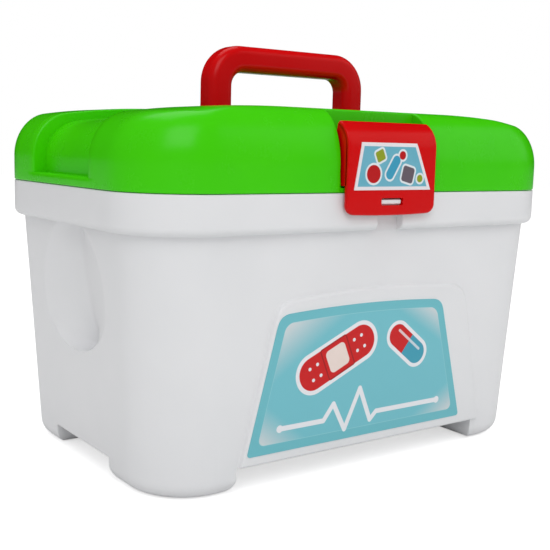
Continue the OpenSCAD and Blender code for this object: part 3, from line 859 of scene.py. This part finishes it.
def on_latch(x, s, n):
    """Points on the latch: x across, s up its face from the lower edge and over the bend, and
    n behind the face."""
    over = np.clip(s - (latch_bend_z - latch_z), 0, None) / latch_bend
    deep = latch_bend - n
    y = np.where(over > 0, latch_bend - latch_y - deep * np.cos(over), n - latch_y)
    z = latch_z + np.minimum(s, latch_bend_z - latch_z) + deep * np.sin(over)
    return np.stack(np.broadcast_arrays(x, y, z), axis=-1)


def latch_plate():
    """The plate as rings of rounded rectangles about the slot. They run out over the face, round
    the outer edge, back in behind the plate, and through the slot."""
    loop = Loop(spaced(mirrored([0.9]), 0.5), spaced(mirrored([6.0]), 2), 2)
    loop.knots = (0, 0.42, 0.58, 1)
    turn = arc(90, 0, 6)
    edge = latch_edge * (1 - np.cos(turn))
    t = np.linspace(0, 1, 24)
    grow = np.concatenate([t, np.ones(5), np.ones(6), t[-2::-1]])
    inset = np.concatenate([latch_edge * t, edge[1:], edge[::-1] * back_share,
                            back_share * latch_edge * t[-2::-1]])
    n = np.concatenate([np.zeros(24), latch_edge * (1 - np.sin(turn[1:])),
                        latch_t - back_share * latch_edge * (1 - np.sin(turn[::-1])),
                        np.full(23, latch_t)])
    middle = (latch_len - 2 * slot_up) / 2
    half_x_row = slot_w + grow * (latch_w - slot_w) - inset
    half_s = slot_h / 2 + grow * (latch_len / 2 - slot_h / 2) - inset
    low = loop.sy < 0
    r_far = np.where(low, latch_low_r, latch_top_r)
    r = slot_r + grow[:, None] * (r_far - slot_r) - inset[:, None] * 0.5
    ring = loop.points(half_x_row, half_s, r, n, mid_y=middle * grow)
    x, s = ring[..., 0], ring[..., 1]
    s = s + latch_belly * (x / latch_w) ** 2 * np.clip(-s / slot_up, 0, 1)
    return skin(on_latch(x, s + slot_up, ring[..., 2]), closed_rows=True)


barrel = tube(latch_pin_y, latch_pin_z, -latch_w, latch_w, bore_r, 3.3)
rib_outline = [(-94.0, 147.5), (-87.2, 147.5), (-84.8, 168.5), (-86.4, 170.2), (-86.5, 171.6),
               (-85.6, 173.3), (-86.4, 177.6), (-90.2, 175.2), (-93.0, 170.8), (-94.0, 166.0)]
rib_t = 2
ribs = [prism(rib_outline, start, start + rib_t, 0.3)
        for start in (-latch_w, -rib_t / 2, latch_w - rib_t)]
add_piece("latch_plate", joined(latch_plate(), barrel, *ribs), "latch",
          red_plastic, "latch")

# Front label
# A printed adhesive film on the raised panel, glossy and a third of a millimetre thick. Its
# print is a pale turquoise field that fades to white in the corners, inside a darker border,
# with a red sticking plaster, a capsule and a white line.
label_t = 0.3
label_w = 71.6
label_top_w = 53.6
label_z = 18.4
label_top = 86.5
label_shift = 5.0
label_top_shift = 7.0
label_arch = 2.0
label_line = 4.6


def label_middle(h):
    """X of the label's middle at the height h, on a straight line from foot to shoulders."""
    return -label_shift - (label_top_shift - label_shift) * (h - label_z) / (label_top - label_z)


def front_film():
    """The film as its outline at three depths, the last a little smaller."""
    n = panel_t + 0.02 + np.array([0, label_t - 0.1, label_t])
    rows = np.stack([arched(label_w - into, label_top_w - into, label_z + into, label_top - into,
                            label_arch, 6.0, 2.4) for into in (0, 0, 0.1)])
    return skin(on_front(rows[..., 0] + label_middle(rows[..., 1]), rows[..., 1], n[:, None]))


def half_plane(u, v, start, end):
    """Distance from the line through two points, above nought on its left."""
    along = np.subtract(end, start) / np.linalg.norm(np.subtract(end, start))
    return u * -along[1] + v * along[0] + float(along[1] * start[0] - along[0] * start[1])


def rounded_field(sides, r):
    """Distance outside the field that all the sides enclose, with corners of radius r: the
    length of the distances over -r, or the largest where none is."""
    squares, largest = 0.0, -r
    for side in sides:
        past = (side + r).over(0.0)
        squares = past * past + squares
        largest = (side + r).over(largest)
    return squares.root() + largest.under(0.0) - r


def turned(u, v, middle, degrees):
    """The place (u, v) as seen from a middle, in axes turned by an angle."""
    c, s = np.cos(np.radians(degrees)), np.sin(np.radians(degrees))
    u, v = u - middle[0], v - middle[1]
    return u * c + v * s, v * c - u * s


def rounded_box(a, b, half_a, half_b, r):
    """Distance outside a rectangle of half sizes half_a and half_b with round corners."""
    a, b = abs(a) - (half_a - r), abs(b) - (half_b - r)
    far_a, far_b = a.over(0.0), b.over(0.0)
    return (far_a * far_a + far_b * far_b).root() + a.over(b).under(0.0) - r


def dot(u, v, middle, r):
    """Distance outside a round spot."""
    return rounded_box(*turned(u, v, middle, 0), r, r, r)


def line_between(u, v, start, end):
    """Distance from the straight stroke between two points."""
    length = float(np.hypot(end[0] - start[0], end[1] - start[1]))
    x, y = (end[0] - start[0]) / length, (end[1] - start[1]) / length
    u, v = u - float(start[0]), v - float(start[1])
    past = (u * x + v * y).over(0.0).under(length)
    a, b = u - past * x, v - past * y
    return (a * a + b * b).root()


def printed(distance):
    """How much ink lies at a distance outside a printed shape, with a slightly soft edge."""
    return (0.5 - distance * 4.0).clipped()


def glossy_film(finish, place, ink, waves):
    """The surface of a printed film, with a very fine skin over the waves given."""
    grain = finish.noise(place, 700.0)
    return finish.surface({"Base Color": ink, "Roughness": 0.3 + (grain - 0.5) * 0.08,
                           "Specular IOR Level": 0.35}, [*waves, (grain, 0.000006)])


white_ink = colour(238, 238, 242)
red_ink = colour(208, 10, 14)
film = Finish("printed front film")
film_place = film.place()
u, v = film.across_and_up(film_place, front_lean)
foot_left = (-label_w - label_shift, label_z)
foot_right = (label_w - label_shift, label_z)
top_left = (-label_top_w - label_top_shift, label_top)
top_right = (label_top_w - label_top_shift, label_top)
big_r = (label_top_w ** 2 + label_arch ** 2) / (2 * label_arch)
from_middle = u + label_top_shift
left = half_plane(u, v, foot_left, top_left)
right = half_plane(u, v, top_right, foot_right)
low = label_z - v
high = v + from_middle * from_middle * float(0.5 / big_r) - (label_top + label_arch)
edges = [side + label_line for side in (left, right, low, high)]
field = rounded_field(edges, 4.0)
# The fade of each corner: its side and its level edge, and how fast each distance ends it.
fades = [(0, 3, 0.026, 0.034), (1, 3, 0.036, 0.05), (0, 2, 0.034, 0.05), (1, 2, 0.032, 0.06)]
glow = 0.0
for side, level, a, b in fades:
    glow = (1.0 + edges[side] * a + edges[level] * b).clipped().over(glow)
glow = glow.math("POWER", 1.25) * 0.85
ink = film.mix(glow, colour(119, 196, 208), colour(234, 226, 226))
ink = film.mix(printed(abs(field) - 0.3) * 0.5, ink, colour(170, 218, 224))
ink = film.mix(printed(field * -1), ink, colour(113, 192, 203))

line_w = 1.3
end_r = 1.9
pulse = [(-58, 30), (-31, 30), (-25, 38), (-17, 23.5), (-8, 44), (0, 26), (4, 30), (48, 30)]
stroke = line_between(u, v, pulse[0], pulse[1])
for start, end in zip(pulse[1:], pulse[2:]):
    stroke = stroke.under(line_between(u, v, start, end))
for middle in (pulse[0], pulse[-1]):
    stroke = stroke.under(dot(u, v, middle, end_r) + line_w)
ink = film.mix(printed(stroke - line_w), ink, white_ink)

along, across = turned(u, v, (-24, 62), 24)
strip = rounded_box(along, across, 25.0, 8.6, 8.4)
ink = film.mix(printed(strip - 2.2), ink, white_ink)
ink = film.mix(printed(strip), ink, red_ink)
pad = rounded_box(along, across, 8.6, 8.6, 1.0)
ink = film.mix(printed(abs(pad) - 0.35), ink, colour(160, 4, 10))
ink = film.mix(printed(rounded_box(along, across, 6.4, 6.2, 2.4)), ink, colour(240, 222, 214))
for reach in (12.5, 17.5):
    hole = rounded_box(abs(along) - reach, abs(across) - 3.2, 0.9, 0.9, 0.9)
    ink = film.mix(printed(hole), ink, white_ink)

along, across = turned(u, v, (23, 64), -38)
pill = rounded_box(along, across, 14.5, 6.0, 5.9)
ink = film.mix(printed(pill - 2.0), ink, white_ink)
ink = film.mix(printed(pill), ink, colour(64, 160, 184))
ink = film.mix(printed(pill) * printed(along), ink, red_ink)
shine = line_between(along, across, (-9.5, 2.6), (9.0, 2.6))
ink = film.mix(printed(shine - 0.7) * 0.7, ink, white_ink)

front_print = glossy_film(film, film_place, ink, [(film.noise(film_place, 40.0), 0.00006)])
add_piece("front_label_film", front_film(), "case", front_print, "front_label")

# Latch label
# A smaller film round the latch's face, turquoise inside a white border, printed with a few
# plain shapes that are outlined in white.
film_low = 145.6
film_high = 168.5
film_w = 25.3
film_top_w = 18.1
film_shift = 3.1
film_line = 1.7


def latch_film():
    """The film as two grids that follow the latch's face, label_t apart."""
    s = np.concatenate([np.linspace(film_low - latch_z, 33, 6)[:-1], np.linspace(33, 35.55, 6)])
    share = (s - s[0]) / (s[-1] - s[0])
    x = (np.linspace(-1, 1, 25)[:, None] * (film_w + (film_top_w - film_w) * share)
         - film_shift * share)
    return plate(on_latch(x, s, -0.02), on_latch(x, s, -label_t))


badge = Finish("printed latch film")
badge_place = badge.place()
u, v = badge.across_and_up(badge_place, 0)
left = half_plane(u, v, (-film_w, film_low), (-film_top_w - film_shift, film_high))
right = half_plane(u, v, (film_top_w - film_shift, film_high), (film_w, film_low))
border = left.over(right).over(film_low - v).over(v - film_high) + film_line
shade = badge.noise(badge_place, 90.0)
ink = badge.mix(shade, colour(98, 176, 196), colour(116, 182, 204))
olive = colour(146, 160, 34)
label_red = colour(190, 4, 12)
table = [((-13.2, 153.4), 0, 4.4, 4.4, 4.3, label_red), ((-9.2, 162.3), 24, 2.7, 2.7, 0.9, olive),
         ((-0.6, 156.6), 58, 6.4, 2.5, 2.4, colour(60, 158, 192)),
         ((5.4, 162.6), 0, 2.1, 2.1, 2.0, label_red),
         ((9.4, 153.2), -14, 3.9, 3.9, 1.4, colour(104, 92, 102)),
         ((17.6, 151.2), 0, 1.9, 1.9, 1.8, olive)]
shapes = [(rounded_box(*turned(u, v, middle, degrees), half_a, half_b, r), tone)
          for middle, degrees, half_a, half_b, r, tone in table]
for shape, tone in shapes:
    ink = badge.mix(printed(shape - 1.0), ink, colour(226, 234, 238))
for shape, tone in shapes:
    ink = badge.mix(printed(shape), ink, tone)
ink = badge.mix(printed(border * -1), ink, colour(236, 230, 234))
latch_print = glossy_film(badge, badge_place, ink, [])
add_piece("latch_label_film", latch_film(), "latch", latch_print, "latch_label")

# Pins
# Cut lengths of drawn steel wire on which the lid, the handle and the latch turn.
steel = Finish("drawn steel wire")
steel_place = steel.place()
stretched = steel.add("ShaderNodeVectorMath", {"operation": "MULTIPLY"},
                      {0: steel_place, 1: (60.0, 2500.0, 2500.0)})
streak = steel.add("ShaderNodeTexNoise", None, {"Vector": stretched, "Scale": 1.0, "Detail": 3.0})
steel_wire = steel.surface(
    {"Base Color": steel.mix(streak, colour(150, 150, 150), colour(200, 200, 198)),
     "Metallic": 1.0, "Roughness": 0.25 + streak * 0.2}, [(streak, 0.00001)])
for name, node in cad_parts.items():
    if "_pin" in name:
        node.data.materials.clear()
        node.data.materials.append(steel_wire)

# Studio
# A pale floor in a white surround, soft even light from all round, and three large soft
# lamps. One floor is what the camera sees, and a second one below it only throws light back.
studio_half = 4
surround_r = 3.9


def pale_floor(name, z, shade, glow):
    """A wide floor at the height z in metres, which also glows a little by itself."""
    mesh = bpy.data.meshes.new(name)
    corners = [(-1, -1), (1, -1), (1, 1), (-1, 1)]
    mesh.from_pydata([(x * studio_half, y * studio_half, z) for x, y in corners], [],
                     [(0, 1, 2, 3)])
    floor = placed(name, mesh)
    pale = Finish(name)
    mesh.materials.append(pale.surface(
        {"Base Color": shade, "Roughness": 0.9, "Specular IOR Level": 0.0,
         "Emission Color": (1, 1, 1, 1), "Emission Strength": glow},
        [(pale.noise(pale.place(), 300.0), 0.00001)]))
    return floor


seen_floor = pale_floor("floor", -0.0002, colour(246, 246, 246), 0.56)
seen_floor.visible_diffuse = seen_floor.visible_glossy = seen_floor.visible_shadow = False
lighting_floor = pale_floor("floor light", -0.0004, colour(232, 232, 232), 0.0)
lighting_floor.visible_camera = False

world = bpy.data.worlds.new("surround")
world.use_nodes = True
all_round = world.node_tree.nodes["Background"].inputs
all_round["Color"].default_value = (1, 1, 1, 1)
all_round["Strength"].default_value = 0.59
bpy.context.scene.world = world
world.cycles_visibility.glossy = False

dome_turn, dome_up = np.meshgrid(arc(0, 360, 49)[:-1], arc(-4, 90, 16))
dome_points = surround_r * np.stack([np.cos(dome_up) * np.cos(dome_turn),
                                     np.cos(dome_up) * np.sin(dome_turn), np.sin(dome_up)], -1)
backdrop_points, backdrop_faces = skin(dome_points)
backdrop_mesh = bpy.data.meshes.new("backdrop")
backdrop_mesh.from_pydata(backdrop_points.tolist(), [], backdrop_faces[:-2])
backdrop = placed("backdrop", backdrop_mesh)
white = Finish("white surround")
white.add_output(white.add("ShaderNodeEmission", None, {"Color": (1, 1, 1, 1), "Strength": 1.0}))
backdrop_mesh.materials.append(white.material)
backdrop.visible_diffuse = backdrop.visible_glossy = backdrop.visible_shadow = False


def stand(made, across, upward, back, place):
    """Puts a lamp or the camera at a place in metres, with the three ways as its axes."""
    turned_to = Matrix(np.stack([across, upward, back], axis=1).tolist()).to_4x4()
    turned_to.translation = place
    made.matrix_world = turned_to


def lamp(name, place, power):
    """A square soft lamp at a place in metres, turned towards the case."""
    data = bpy.data.lights.new(name, "AREA")
    data.size, data.energy = lamp_size, power
    toward = np.array(lamp_aim) - np.array(place)
    toward = toward / np.linalg.norm(toward)
    side = np.cross(toward, [0, 0, 1])
    side = side / np.linalg.norm(side)
    stand(placed(name, data), side, np.cross(side, toward), -toward, place)


lamp_size = 1.1
lamp_aim = (0, 0, 0.1)
lamp("key", (-0.7, -1.1, 1.3), 9.6)
lamp("fill", (1.2, -0.8, 0.8), 2.4)
lamp("above", (0.1, 0.5, 1.7), 6.0)

camera = bpy.data.cameras.new("camera")
camera.sensor_width = 36.0
camera.lens = 61.46
camera.shift_x = 0.0081
camera.shift_y = -0.0010
camera.clip_start = 0.01
viewer = placed("camera", camera)
turn_a, turn_e, turn_r = np.radians([-35.528, 7.899, 1.415])
back = np.array([np.sin(turn_a) * np.cos(turn_e), -np.cos(turn_a) * np.cos(turn_e), np.sin(turn_e)])
right = np.array([np.cos(turn_a), np.sin(turn_a), 0])
up = np.cross(right, -back)
stand(viewer, np.cos(turn_r) * right + np.sin(turn_r) * up,
      np.cos(turn_r) * up - np.sin(turn_r) * right, back,
      np.array([-318.824, -439.449, 166.544]) * mm)
bpy.context.scene.camera = viewer
bpy.context.scene.view_settings.view_transform = "Standard"
